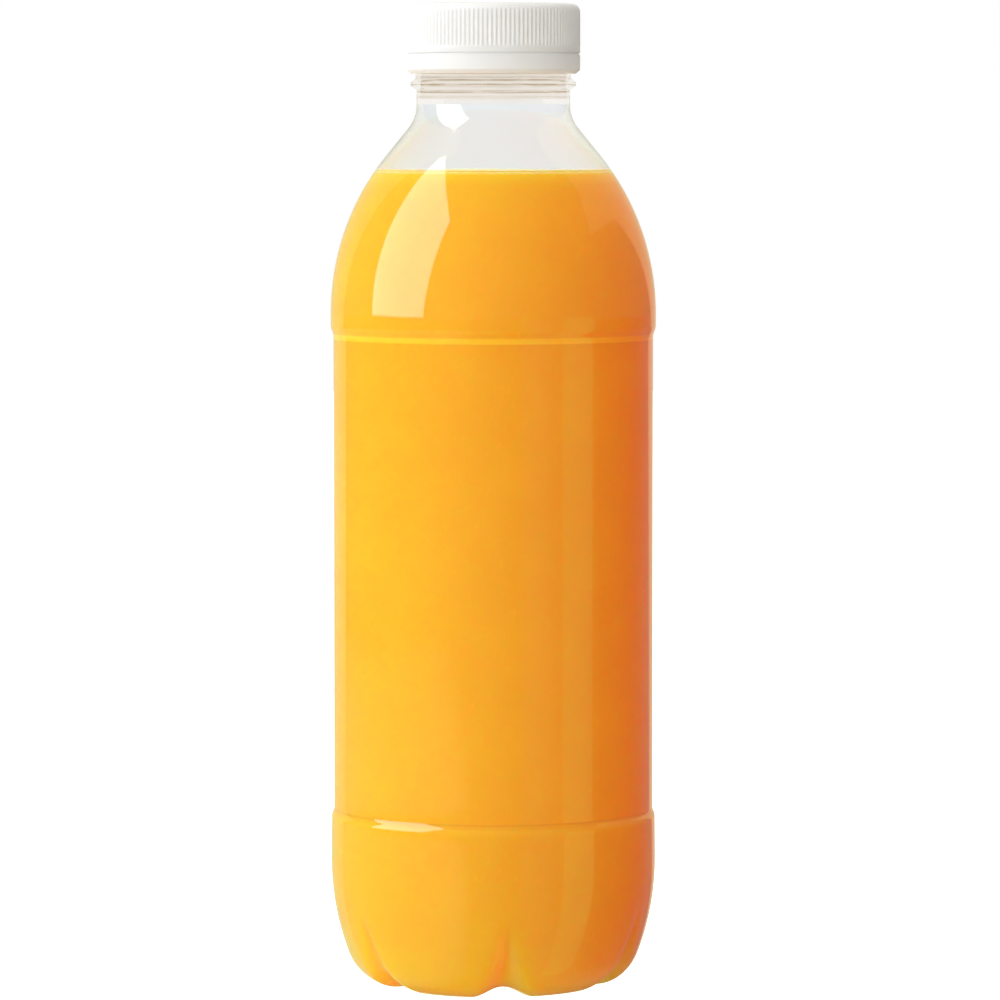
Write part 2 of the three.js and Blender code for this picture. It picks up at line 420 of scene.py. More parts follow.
class FinishColours(bpy.types.PropertyGroup):
    """Colours of the finishes"""

    juice: FloatVectorProperty(
        name="Juice",
        description="Colour of the cloudy juice",
        default=(0.785, 0.44, 0.008),
        subtype="COLOR",
        min=0,
        max=1,
    )
    plastic: FloatVectorProperty(
        name="Clear plastic",
        description="Tint of the clear blown wall",
        default=(0.93, 0.95, 0.957),
        subtype="COLOR",
        min=0,
        max=1,
    )
    neck: FloatVectorProperty(
        name="Thick neck",
        description="Tint of the thick plastic of the neck",
        default=(0.93, 0.9, 0.86),
        subtype="COLOR",
        min=0,
        max=1,
    )
    # Partly painted shade: this tint darkens the neck under the cap, band and support ring
    streaks: FloatVectorProperty(
        name="Neck streaks",
        description="Tint of the deep streaks in the thick neck",
        default=(0.52, 0.42, 0.29),
        subtype="COLOR",
        min=0,
        max=1,
    )
    # Painted highlight: a pale line standing in for light on the meniscus at the wall
    painted_rim_highlight: FloatVectorProperty(
        name="Foam",
        description="Colour of the thin line of foam where the juice meets the wall",
        default=(1, 0.72, 0.4),
        subtype="COLOR",
        min=0,
        max=1,
    )
    # Also used for painted light: the juice under its free surface and the pale lines at the steps
    pulp: FloatVectorProperty(
        name="Pulp",
        description="Colour of the pulp, and of the juice just under its free surface",
        default=(1, 0.62, 0.02),
        subtype="COLOR",
        min=0,
        max=1,
    )
    cap: FloatVectorProperty(
        name="Cap",
        description="Colour of the white cap and band",
        default=(0.915, 0.962, 1),
        subtype="COLOR",
        min=0,
        max=1,
    )
    floor: FloatVectorProperty(
        name="Floor",
        description="Colour of the floor",
        default=(0.9, 0.9, 0.9),
        subtype="COLOR",
        min=0,
        max=1,
    )


class StudioSettings(bpy.types.PropertyGroup):
    """Camera and light of the studio"""

    camera_place: FloatVectorProperty(
        name="Camera place",
        description="Where the camera stands",
        default=(0.00155, -1.3284, 0.1998),
        subtype="TRANSLATION",
        unit="LENGTH",
        precision=5,
    )
    camera_pitch: FloatProperty(
        name="Camera pitch",
        description="How far the camera looks down",
        default=math.radians(3.737),
        subtype="ANGLE",
        unit="ROTATION",
    )
    lens: FloatProperty(
        name="Lens",
        description="Focal length of the camera, in millimetres",
        default=206.1,
    )
    light: FloatProperty(
        name="Light",
        description="Brightness of the soft light from all round",
        default=0.95,
        min=0,
    )
    slant: FloatProperty(
        name="Slant",
        description="How much brighter the soft light is towards its own side",
        default=1.35,
        min=0,
    )
    light_side: FloatVectorProperty(
        name="Light side",
        description="Direction that the soft light is brightest in",
        default=(-0.853, 0.161, 0.497),
        subtype="DIRECTION",
    )
    key: FloatProperty(
        name="Key",
        description="Brightness of the broad key light in front, a little to the left",
        default=0.885,
        min=0,
    )
    key_side: FloatVectorProperty(
        name="Key side",
        description="Direction of the broad key light",
        default=(-0.34, -0.94, 0),
        subtype="DIRECTION",
    )
    table_light: FloatProperty(
        name="Table light",
        description="How much brighter the soft light is straight from below",
        default=0.5,
        min=0,
    )
    behind: FloatProperty(
        name="Behind",
        description="Brightness of the lit backdrop straight behind the bottle",
        default=0.3,
        min=0,
    )
    softbox: FloatProperty(
        name="Softbox",
        description="Brightness of the large softbox on the left, as the bottle mirrors it",
        default=4.3,
        min=0,
    )
    backdrop_left: FloatProperty(
        name="Backdrop left",
        description="Brightness of the backdrop's left part, as the bottle mirrors it",
        default=0.75,
        min=0,
    )
    backdrop_right: FloatProperty(
        name="Backdrop right",
        description="Brightness of the backdrop's right part, as the bottle mirrors it",
        default=0.75,
        min=0,
    )
    backdrop_tint: FloatVectorProperty(
        name="Backdrop tint",
        description="Colour of the backdrop, as the bottle mirrors it",
        default=(1, 0.96, 0.66),
        subtype="COLOR",
        min=0,
        max=1,
    )
    room: FloatProperty(
        name="Room",
        description="Brightness of the rest of the room, as the bottle mirrors it",
        default=0.24,
        min=0,
    )
    table_left: FloatProperty(
        name="Table left",
        description="Brightness of the table's left part, as the bottle mirrors it",
        default=0.15,
        min=0,
    )
    table_glint: FloatVectorProperty(
        name="Table glint",
        description="Colour of the sunny table on the left, as the base mirrors it",
        default=(1, 0.53, 0.35),
        subtype="COLOR",
        min=0,
        max=1,
    )
    table_right: FloatVectorProperty(
        name="Table right",
        description="Colour of the table's right part, as the bottle mirrors it",
        default=(0.32, 0, 0.12),
        subtype="COLOR",
        min=0,
        max=1,
    )
    card: FloatVectorProperty(
        name="Card",
        description="Colour of the card low on the right, as the bottle mirrors it",
        default=(0.45, 0.9, 0.35),
        subtype="COLOR",
        min=0,
        max=1,
    )
    floor_glow: FloatProperty(
        name="Floor glow",
        description="Light that the lit table gives off by itself",
        default=1.2,
        min=0,
    )


class JuiceBottleSettings(bpy.types.PropertyGroup):
    """Everything that a user would change"""

    bottle: PointerProperty(type=BottleSizes)
    closure: PointerProperty(type=ClosureSizes)
    colours: PointerProperty(type=FinishColours)
    studio: PointerProperty(type=StudioSettings)


class Pen:
    """Draws a half outline in the XZ plane as one chain of edges. Points are (radius, height)"""

    def __init__(self, mesh, radius, height):
        self.mesh = mesh
        self.old = set(self.everything())
        self.tip = mesh.verts.new((radius, 0, height))

    def everything(self):
        return [*self.mesh.verts, *self.mesh.edges, *self.mesh.faces]

    def made(self):
        """What this pen has drawn and turned so far"""
        return [item for item in self.everything() if item not in self.old]

    def place(self):
        """Radius and height of the pen's tip"""
        return Vector((self.tip.co.x, self.tip.co.z))

    def line(self, radius, height, steps=1):
        """A straight stretch to a point, in even steps"""
        start = self.tip.co.copy()
        end = Vector((radius, 0, height))
        for step in range(1, steps + 1):
            made = bmesh.ops.extrude_vert_indiv(self.mesh, verts=[self.tip])
            self.tip = made["verts"][0]
            self.tip.co = start.lerp(end, step / steps)

    def go(self, heading, length, steps=1):
        """A straight stretch at an angle from the horizontal"""
        start = self.place()
        radius = start.x + length * math.cos(heading)
        height = start.y + length * math.sin(heading)
        self.line(radius, height, steps)

    def arc(self, centre, turn, steps):
        """An arc round a centre, positive from outwards to upwards"""
        made = bmesh.ops.spin(
            self.mesh,
            geom=[self.tip],
            cent=(centre[0], 0, centre[1]),
            axis=(0, -1, 0),
            angle=turn,
            steps=steps,
        )
        self.tip = next(item for item in made["geom_last"] if isinstance(item, bmesh.types.BMVert))

    def rounded(self, points, radius, steps=4):
        """Straight stretches through points, with each corner between them rounded"""
        points = [Vector(point) for point in points]
        for corner, after in zip(points, points[1:]):
            heading = (corner - self.place()).normalized()
            leaving = (after - corner).normalized()
            turn = math.atan2(heading.cross(leaving), heading.dot(leaving))
            cut = radius * math.tan(abs(turn) / 2)
            self.line(*(corner - heading * cut))
            side = Vector((-heading.y, heading.x)) * math.copysign(radius, turn)
            self.arc(self.place() + side, turn, steps)
        self.line(*points[-1])

    def turn(self, steps):
        """Turns the outline all the way round Z: one sector is spun, then copied round and joined.
        Returns the vertices of the turned skin"""
        sector = FULL_TURN / SECTORS
        bmesh.ops.spin(
            self.mesh,
            geom=self.made(),
            cent=(0, 0, 0),
            axis=(0, 0, 1),
            angle=sector,
            steps=steps // SECTORS,
        )
        first = self.made()
        for number in range(1, SECTORS):
            copied = bmesh.ops.duplicate(self.mesh, geom=first)["geom"]
            verts = [item for item in copied if isinstance(item, bmesh.types.BMVert)]
            turned = Matrix.Rotation(sector * number, 3, "Z")
            bmesh.ops.rotate(self.mesh, verts=verts, cent=(0, 0, 0), matrix=turned)
        verts = [item for item in self.made() if isinstance(item, bmesh.types.BMVert)]
        bmesh.ops.remove_doubles(self.mesh, verts=verts, dist=MERGE)
        return [item for item in self.made() if isinstance(item, bmesh.types.BMVert)]


def draw_step(pen, low, high):
    """A soft step between two radii: two equal arcs, upright at both ends"""
    change = high[0] - low[0]
    height = high[1] - low[1]
    slope = 2 * math.atan(abs(change) / height)
    reach = math.copysign(height / (2 * math.sin(slope)), change)
    turn = math.copysign(slope, change)
    pen.arc((low[0] + reach, low[1]), -turn, STEP_ARC_STEPS)
    pen.arc((high[0] - reach, high[1]), turn, STEP_ARC_STEPS)


def draw_body(pen, inset):
    """Half outline from the middle of the base up to the bead, moved into the wall by inset"""
    pen.arc((0, DOME_CENTRE_Z), -DOME_SLOPE, DOME_STEPS)
    pen.arc((PAD_INNER_R, INNER_CORNER_R), DOME_SLOPE, INNER_CORNER_STEPS)
    pen.go(0, PAD_WIDTH, PAD_STEPS)
    pen.arc((PAD_OUTER_R, CORNER_R), RIGHT_ANGLE - CORNER_SLOPE, CORNER_STEPS)
    pen.arc((BULGE_R - SIDE_ARC_R, BULGE_Z), CORNER_SLOPE, SIDE_STEPS)
    pen.line(RING_R - inset, LOW_STEP_Z, RING_STEPS)
    draw_step(pen, (RING_R, LOW_STEP_Z), (PANEL_R, LOW_STEP_TOP_Z))
    pen.line(PANEL_R - inset, HIGH_STEP_Z, PANEL_STEPS)
    draw_step(pen, (PANEL_R, HIGH_STEP_Z), (BEAD_R, HIGH_STEP_TOP_Z))
    pen.line(BEAD_R - inset, BEAD_Z)


def draw_shoulder(pen):
    """Half outline from the bead over the shoulder and its cone to the foot of the neck"""
    pen.arc((SHOULDER_CENTRE_R, BEAD_Z), SHOULDER_SLOPE, SHOULDER_STEPS)
    pen.go(RIGHT_ANGLE + SHOULDER_SLOPE, CONE_LENGTH, CONE_STEPS)
    pen.arc((FILLET_CENTRE_R, FILLET_CENTRE_Z), -SHOULDER_SLOPE, FILLET_STEPS)


def start_body(mesh, inset):
    """A pen at the middle of the base, moved into the wall by inset"""
    return Pen(mesh, 0, DOME_CENTRE_Z + DOME_R + inset)


def smoothstep(value, low, high):
    """0 below low, 1 above high, and a soft rise between them"""
    share = min(max((value - low) / (high - low), 0), 1)
    return share * share * (3 - 2 * share)


def groove(sizes, radius, height):
    """Depth and half width of a groove at a place on the bottle's outer outline"""
    if height > GROOVE_TOP_Z:
        return 0, 0
    if radius < PAD_OUTER_R:
        share = smoothstep(radius, 0, PAD_INNER_R)
        return sizes.groove_depth * share, sizes.groove_half_width
    share = (1 - height / GROOVE_TOP_Z) ** GROOVE_POWER
    return sizes.groove_depth * share, sizes.groove_half_width * share


def press_grooves(mesh, verts, inset, sizes):
    """Presses the grooves between the feet into a turned skin that lies inset inside the outer face"""
    inside = Vector((0, 0, LOW_STEP_Z))
    pitch = FULL_TURN / sizes.feet
    mesh.normal_update()
    moves = []
    for vert in verts:
        outward = vert.normal.copy()
        if outward.dot(vert.co - inside) < 0:
            outward.negate()
        outer = vert.co + outward * inset
        radius = math.hypot(outer.x, outer.y)
        depth, half_width = groove(sizes, radius, outer.z)
        spread = min(pitch / 2, half_width / max(radius, inset + GROOVE_LEAST_R))
        if depth * spread == 0:
            continue
        turn = (math.atan2(outer.x, -outer.y) - sizes.first_groove) / pitch
        apart = abs(turn - round(turn)) * pitch
        reach = min(apart / spread, 1)
        moves.append((vert, outward * (depth * math.cos(reach * RIGHT_ANGLE) ** 2)))
    for vert, move in moves:
        vert.co -= move


def finish_piece(mesh, name, materials, node):
    """Makes the object of a closed mesh, in place of a CAD node, riding on the one body"""
    bmesh.ops.remove_doubles(mesh, verts=mesh.verts, dist=MERGE)
    bmesh.ops.recalc_face_normals(mesh, faces=mesh.faces)
    data = bpy.data.meshes.new(name)
    mesh.to_mesh(data)
    mesh.free()
    data.shade_smooth()
    for material in materials:
        data.materials.append(material)
    piece = bpy.data.objects.new(name, data)
    bpy.context.scene.collection.objects.link(piece)
    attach(piece, "root")
    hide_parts(node)
    return piece


class Signal:
    """A number that changes over a surface. Arithmetic on it adds Math nodes"""

    def __init__(self, recipe, socket):
        self.recipe = recipe
        self.socket = socket

    def combine(self, operation, first, second):
        return self.recipe.add("ShaderNodeMath", {"operation": operation}, {0: first, 1: second})

    def __add__(self, other):
        return self.combine("ADD", self, other)

    def __radd__(self, other):
        return self.combine("ADD", other, self)

    def __sub__(self, other):
        return self.combine("SUBTRACT", self, other)

    def __rsub__(self, other):
        return self.combine("SUBTRACT", other, self)

    def __mul__(self, other):
        return self.combine("MULTIPLY", self, other)

    def __rmul__(self, other):
        return self.combine("MULTIPLY", other, self)

    def __pow__(self, other):
        return self.combine("POWER", self, other)

    def __rpow__(self, other):
        return self.combine("POWER", other, self)

    def least(self, other):
        return self.combine("MINIMUM", self, other)

    def most(self, other):
        return self.combine("MAXIMUM", self, other)

    def ramp(self, low, high):
        """0 where the signal is at low, 1 where it is at high, and a soft rise between them"""
        settings = {"interpolation_type": "SMOOTHSTEP"}
        inputs = {"Value": self, "From Min": low, "From Max": high}
        return self.recipe.add("ShaderNodeMapRange", settings, inputs)


class Recipe:
    """Builds the nodes of one material or world"""

    def __init__(self, owner):
        owner.use_nodes = True
        self.tree = owner.node_tree
        self.tree.nodes.clear()

    def add(self, kind, settings=None, inputs=None, output=0):
        """Adds a node, with its settings first, and returns one of its outputs"""
        node = self.tree.nodes.new(kind)
        for name, value in (settings or {}).items():
            setattr(node, name, value)
        for name, value in (inputs or {}).items():
            if isinstance(value, Signal):
                self.tree.links.new(value.socket, node.inputs[name])
            else:
                node.inputs[name].default_value = value
        return Signal(self, node.outputs[output]) if node.outputs else None

    def place(self, scale=(1, 1, 1)):
        """Object coordinates in metres, stretched by a scale"""
        inputs = {"Vector": self.add("ShaderNodeTexCoord", output="Object"), "Scale": scale}
        return self.add("ShaderNodeMapping", inputs=inputs)

    def height(self):
        """Height above the floor in metres"""
        return self.add("ShaderNodeSeparateXYZ", inputs={"Vector": self.place()}, output="Z")

    def grain(self, scale, detail=2, stretch=(1, 1, 1)):
        """Soft noise from 0 to 1, with scale spots to the metre"""
        inputs = {"Vector": self.place(stretch), "Scale": scale, "Detail": detail}
        return self.add("ShaderNodeTexNoise", inputs=inputs)

    def mix(self, share, first, second):
        """First colour where the share is 0, second where it is 1"""
        settings = {"data_type": "RGBA"}
        inputs = {"Factor": share, MIX_FIRST: first, MIX_SECOND: second}
        return self.add("ShaderNodeMix", settings, inputs, MIX_RESULT)

    def dot(self, first, second):
        """How far one direction runs along another, from -1 to 1"""
        settings = {"operation": "DOT_PRODUCT"}
        return self.add("ShaderNodeVectorMath", settings, {0: first, 1: second}, "Value")

    def bump(self, height, strength, distance):
        """A normal with fine relief, distance high where the height is 1"""
        inputs = {"Height": height, "Strength": strength, "Distance": distance}
        return self.add("ShaderNodeBump", inputs=inputs)

    def surface(self, inputs):
        """Ends the recipe with a Principled surface"""
        shader = self.add("ShaderNodeBsdfPrincipled", inputs=inputs)
        self.add("ShaderNodeOutputMaterial", inputs={"Surface": shader})


def opaque(colour):
    """A colour with full alpha"""
    return (*colour, 1)


def darker(colour, share):
    """A colour at a share of its brightness, with full alpha"""
    return opaque([part * share for part in colour])


def clear_plastic(name, tint, deep, roughness, bending, streaks=()):
    """Clear plastic: faintly wavy, with fine scuffs where bottles rub, and level bands of a deep tint,
    partly streak marks and partly painted shade. A streak is its lowest and highest height, and how
    deep it is"""
    material = bpy.data.materials.new(name)
    recipe = Recipe(material)
    scuffs = recipe.grain(*SCUFFS).ramp(*SCUFFS_RISE)
    waves = recipe.grain(*WAVES)
    colour = recipe.mix(waves.ramp(*WAVES_RISE), opaque(tint), darker(tint, PLASTIC_SHADE))
    height = recipe.height() + (recipe.grain(*WANDER) - 0.5) * STREAK_WANDER
    # Each band mixes in the deep tint: partly streak marks, partly painted shade
    for low, high, share in streaks:
        edge = (high - low) * STREAK_EDGE
        band = height.ramp(low, low + edge) * (1 - height.ramp(high - edge, high))
        patchy = recipe.grain(*STREAK_PATCHES).ramp(*PATCHES_RISE)
        patchy = patchy * (1 - STREAK_LEAST) + STREAK_LEAST
        colour = recipe.mix(band * patchy * share, colour, opaque(deep))
    recipe.surface({
        "Base Color": colour,
        "Roughness": scuffs * SCUFF_ROUGHNESS + roughness,
        "Normal": recipe.bump(waves, *WAVE_RELIEF),
        "IOR": bending,
        "Transmission Weight": 1,
    })
    return material


def cloudy_juice(colours, sizes):
    """Cloudy juice: light passes into it and turns it deeper in colour. It has fine pulp; painted light
    in pale lines at the steps of the wall and in a lighter layer under the free surface; painted shade
    in a darker band over the low step; and a painted highlight where its free surface meets the wall"""
    material = bpy.data.materials.new("cloudy_orange_juice")
    recipe = Recipe(material)
    top = sizes.fill_height
    cloud = recipe.grain(*CLOUDS).ramp(*CLOUDS_RISE)
    pulp = recipe.grain(*PULP).ramp(*PULP_RISE)
    height = recipe.height()
    # Painted light: the juice is painted lighter just under its free surface
    painted_top_light = height.ramp(top - PAINTED_TOP_LIGHT_DEPTH, top)
    pulp_and_painted_light = (painted_top_light * TOP_PAINTED_LIGHT).most(pulp * PULP_PALE)
    # Painted light: a pale ring in the juice at each step of the wall
    for step_z, share in ((LOW_STEP_Z, LOW_STEP_PAINTED_LIGHT), (HIGH_STEP_Z, HIGH_STEP_PAINTED_LIGHT)):
        rise = height.ramp(*(step_z + STEP_LINE * place for place in STEP_LINE_RISE))
        fall = height.ramp(*(step_z + STEP_LINE * place for place in STEP_LINE_FALL))
        pulp_and_painted_light = pulp_and_painted_light.most(rise * (1 - fall) * share)
    settled = recipe.mix(cloud, opaque(colours.juice), darker(colours.juice, JUICE_SHADE))
    # Painted shade: a darker band over the low step
    painted_crease_shade = height.ramp(*PAINTED_CREASE_RISE) * (1 - height.ramp(*PAINTED_CREASE_FALL))
    painted_crease_shaded = recipe.mix(painted_crease_shade, settled, darker(colours.juice, PAINTED_CREASE_SHADE))
    lit = recipe.mix(pulp_and_painted_light, painted_crease_shaded, opaque(colours.pulp))
    # Painted highlight: a pale line where the juice climbs the wall, broken up by noise
    climb = height.ramp(top, top + MENISCUS_CLIMB * PAINTED_HIGHLIGHT_CLIMB)
    rim = height.ramp(top - PAINTED_HIGHLIGHT_DEPTH, top)
    rim = rim * (1 - height.ramp(*(top - depth for depth in PAINTED_HIGHLIGHT_EDGE)))
    highlight_breaks = recipe.grain(*HIGHLIGHT_BREAKS).ramp(*HIGHLIGHT_BREAKS_RISE) * (1 - PAINTED_HIGHLIGHT_LEAST) + PAINTED_HIGHLIGHT_LEAST
    painted_rim_highlight = climb.most(rim * PAINTED_HIGHLIGHT_BELOW) * highlight_breaks
    recipe.surface({
        "Base Color": recipe.mix(painted_rim_highlight, lit, opaque(colours.painted_rim_highlight)),
        "Roughness": pulp * PULP_ROUGHNESS + JUICE_ROUGHNESS,
        "Normal": recipe.bump(pulp, *PULP_RELIEF),
        "IOR": JUICE_BENDING,
        "Subsurface Weight": JUICE_SOFTNESS,
        "Subsurface Radius": JUICE_SPREAD,
        "Subsurface Scale": JUICE_DEPTH,
    })
    return material


def white_plastic(colours):
    """Satin white moulded plastic with a very fine grain"""
    material = bpy.data.materials.new("white_moulded_plastic")
    recipe = Recipe(material)
    flow = recipe.grain(*FLOW).ramp(*FLOW_RISE)
    grain = recipe.grain(*FINE_GRAIN)
    recipe.surface({
        "Base Color": recipe.mix(flow, opaque(colours.cap), darker(colours.cap, CAP_SHADE)),
        "Roughness": grain * GRAIN_ROUGHNESS + CAP_ROUGHNESS,
        "Normal": recipe.bump(grain, *GRAIN_RELIEF),
        "IOR": CAP_BENDING,
        "Subsurface Weight": CAP_SOFTNESS,
        "Subsurface Radius": CAP_SPREAD,
        "Subsurface Scale": CAP_DEPTH,
    })
    return material


def pale_floor(colours, studio):
    """Plain pale lit table, faintly uneven"""
    material = bpy.data.materials.new("pale_floor")
    recipe = Recipe(material)
    patches = recipe.grain(*FLOOR_PATCHES)
    recipe.surface({
        "Base Color": recipe.mix(patches, opaque(colours.floor), darker(colours.floor, FLOOR_SHADE)),
        "Roughness": FLOOR_ROUGHNESS,
        "Emission Color": WHITE,
        "Emission Strength": studio.floor_glow,
    })
    return material


class JUICE_BOTTLE_OT_add_shell(bpy.types.Operator):
    """Add the clear bottle: outer skin, mouth and bore, and the inner skin"""

    bl_idname = "juice_bottle.add_shell"
    bl_label = "Add clear bottle"

    def execute(self, context):
        settings = context.scene.juice_bottle
        sizes = settings.bottle
        mesh = bmesh.new()
        self.add_outer_skin(mesh, sizes)
        self.add_inner_skin(mesh, sizes)
        for face in mesh.faces:
            if face.calc_center_median().z > FLARE_END_Z:
                face.material_index = 1
        colours = settings.colours
        materials = [
            clear_plastic(
                "clear_blown_plastic",
                colours.plastic,
                colours.neck,
                WALL_ROUGHNESS,
                WALL_BENDING,
            ),
            clear_plastic(
                "clear_neck_plastic",
                colours.neck,
                colours.streaks,
                NECK_ROUGHNESS,
                NECK_BENDING,
                NECK_STREAKS_AND_PAINTED_SHADE,
            ),
        ]
        piece = finish_piece(mesh, "bottle_shell", materials, "bottle")
        piece.visible_shadow = False
        piece.visible_diffuse = False
        return {"FINISHED"}

    def add_outer_skin(self, mesh, sizes):
        pen = start_body(mesh, 0)
        draw_body(pen, 0)
        draw_shoulder(pen)
        pen.rounded([
            (NECK_R, SUPPORT_RING_Z - SUPPORT_RING_ROOT),
            (SUPPORT_RING_R, SUPPORT_RING_Z - SUPPORT_RING_LIP),
            (SUPPORT_RING_R, SUPPORT_RING_Z + SUPPORT_RING_LIP),
            (NECK_BAND_R, SUPPORT_RING_Z + SUPPORT_RING_ROOT),
            (NECK_BAND_R, NECK_BAND_TOP_Z),
            (FINISH_R, NECK_BAND_TOP_Z + 2 * NECK_ROUNDING),
            (FINISH_R, MOUTH_Z),
            (BORE_R, MOUTH_Z),
            (BORE_R, BORE_END_Z),
        ], NECK_ROUNDING)
        press_grooves(mesh, pen.turn(SHELL_STEPS), 0, sizes)

    def add_inner_skin(self, mesh, sizes):
        pen = start_body(mesh, sizes.wall)
        draw_body(pen, sizes.wall)
        draw_shoulder(pen)
        pen.rounded([
            (NECK_R - sizes.wall, FLARE_END_Z),
            (BORE_R, BORE_END_Z),
        ], NECK_ROUNDING)
        press_grooves(mesh, pen.turn(SHELL_STEPS), sizes.wall, sizes)


class JUICE_BOTTLE_OT_add_juice(bpy.types.Operator):
    """Add the juice, reaching half way into the wall, with its free surface curved up at the rim"""

    bl_idname = "juice_bottle.add_juice"
    bl_label = "Add juice"

    def execute(self, context):
        settings = context.scene.juice_bottle
        sizes = settings.bottle
        inset = sizes.wall / 2
        mesh = bmesh.new()
        pen = start_body(mesh, inset)
        draw_body(pen, inset)
        rim_z = sizes.fill_height + MENISCUS_CLIMB
        rim_turn = math.asin((rim_z - BEAD_Z) / (SHOULDER_ARC_R - inset))
        pen.arc((SHOULDER_CENTRE_R, BEAD_Z), rim_turn, SHOULDER_STEPS)
        curve_r = MENISCUS_CLIMB / (1 - math.cos(MENISCUS_SLOPE))
        level_r = pen.place().x - curve_r * math.sin(MENISCUS_SLOPE)
        pen.arc((level_r, sizes.fill_height + curve_r), -MENISCUS_SLOPE, MENISCUS_STEPS)
        pen.line(0, sizes.fill_height, SURFACE_STEPS)
        press_grooves(mesh, pen.turn(SHELL_STEPS), inset, sizes)
        material = cloudy_juice(settings.colours, sizes)
        finish_piece(mesh, "orange_juice", [material], "juice")
        return {"FINISHED"}


def cut_ribs(mesh, sizes):
    """Presses the valleys between the grip ribs into the outer face of the turned cap"""
    pitch = FULL_TURN / sizes.ribs
    face_r = sizes.radius - CAP_CORNER_R
    for vert in mesh.verts:
        radius = math.hypot(vert.co.x, vert.co.y)
        if radius < face_r or not RIB_LOW_Z < vert.co.z:
            continue
        along = smoothstep(vert.co.z, RIB_LOW_Z, RIB_LOW_Z + RIB_FADE)
        along *= 1 - smoothstep(vert.co.z, RIB_HIGH_Z - RIB_FADE, RIB_HIGH_Z + RIB_FADE)
        turn = math.atan2(vert.co.y, vert.co.x) / pitch
        apart = abs(turn - round(turn)) * 2
        valley = 1 - smoothstep(apart, *RIB_FLANK)
        room = smoothstep(radius, face_r, sizes.radius - sizes.rib_depth)
        press = sizes.rib_depth * along * valley * room
        vert.co.x *= 1 - press / radius
        vert.co.y *= 1 - press / radius


class JUICE_BOTTLE_OT_add_cap(bpy.types.Operator):
    """Add the screw cap with its grip ribs"""

    bl_idname = "juice_bottle.add_cap"
    bl_label = "Add screw cap"

    def execute(self, context):
        settings = context.scene.juice_bottle
        sizes = settings.closure
        ceiling = sizes.cap_top - CAP_LID
        mesh = bmesh.new()
        pen = Pen(mesh, 0, ceiling)
        pen.rounded([
            (CAP_BORE_R, ceiling),
            (CAP_BORE_R, sizes.cap_bottom),
            (sizes.radius, sizes.cap_bottom),
            (sizes.radius, RIB_LOW_Z),
        ], CAP_EDGE)
        pen.line(sizes.radius, RIB_LOW_Z + RIB_FADE, RIB_END_STEPS)
        corner = (sizes.radius - CAP_CORNER_R, sizes.cap_top - CAP_CORNER_R)
        pen.line(sizes.radius, corner[1], RIB_STEPS)
        pen.arc(corner, RIGHT_ANGLE, CAP_CORNER_STEPS)
        pen.line(0, sizes.cap_top, LID_STEPS)
        pen.turn(sizes.ribs * COLUMNS_PER_RIB)
        cut_ribs(mesh, sizes)
        finish_piece(mesh, "screw_cap", [white_plastic(settings.colours)], "cap")
        return {"FINISHED"}


class JUICE_BOTTLE_OT_add_band(bpy.types.Operator):
    """Add the tamper band under the cap, with the collar that closes their seam"""

    bl_idname = "juice_bottle.add_band"
    bl_label = "Add tamper band"

    def execute(self, context):
        settings = context.scene.juice_bottle
        sizes = settings.closure
        mesh = bmesh.new()
        pen = Pen(mesh, BAND_BORE_R + BAND_EDGE, sizes.band_bottom)
        first = pen.tip
        pen.rounded([
            (sizes.radius - BAND_TAPER, sizes.band_bottom),
            (sizes.radius, sizes.band_bottom + BAND_TAPER_HEIGHT),
            (sizes.radius, sizes.band_top),
            (sizes.radius - SEAM_DEPTH, sizes.band_top),
            (sizes.radius - SEAM_DEPTH, sizes.cap_bottom - SEAM_GAP),
            (BAND_BORE_R, sizes.cap_bottom - SEAM_GAP),
            (BAND_BORE_R, sizes.band_bottom),
            tuple(first.co.xz),
        ], BAND_EDGE)
        pen.turn(BAND_STEPS)
        finish_piece(
            mesh, "tamper_ring", [white_plastic(settings.colours)], "tamper_band"
        )
        return {"FINISHED"}


def toward(corner):
    """Direction of a corner given as azimuth and elevation in degrees"""
    azimuth, elevation = (math.radians(angle) for angle in corner)
    level = math.cos(elevation)
    return Vector((math.sin(azimuth) * level, -math.cos(azimuth) * level, math.sin(elevation)))


def one_side(recipe, direction, edge, inside):
    """1 on the side of a great circle where inside lies, 0 beyond it"""
    normal = toward(edge[0]).cross(toward(edge[1])).normalized()
    if normal.dot(toward(inside)) < 0:
        normal.negate()
    return recipe.dot(direction, normal).ramp(-PATCH_BLUR / 2, PATCH_BLUR / 2)


def inside_edges(recipe, direction, edges, inside):
    """1 on the side of all these great circles where inside lies, 0 beyond any of them"""
    share = one_side(recipe, direction, edges[0], inside)
    for edge in edges[1:]:
        share = share.least(one_side(recipe, direction, edge, inside))
    return share


def patch(recipe, direction, corners):
    """1 inside a patch of the studio with these corners, 0 outside it"""
    middle = sum((toward(corner) for corner in corners), Vector())
    level = math.hypot(middle.x, middle.y)
    azimuth = math.degrees(math.atan2(middle.x, -middle.y))
    inside = (azimuth, math.degrees(math.atan2(middle.z, level)))
    edges = list(zip(corners, corners[1:] + corners[:1]))
    return inside_edges(recipe, direction, edges, inside)


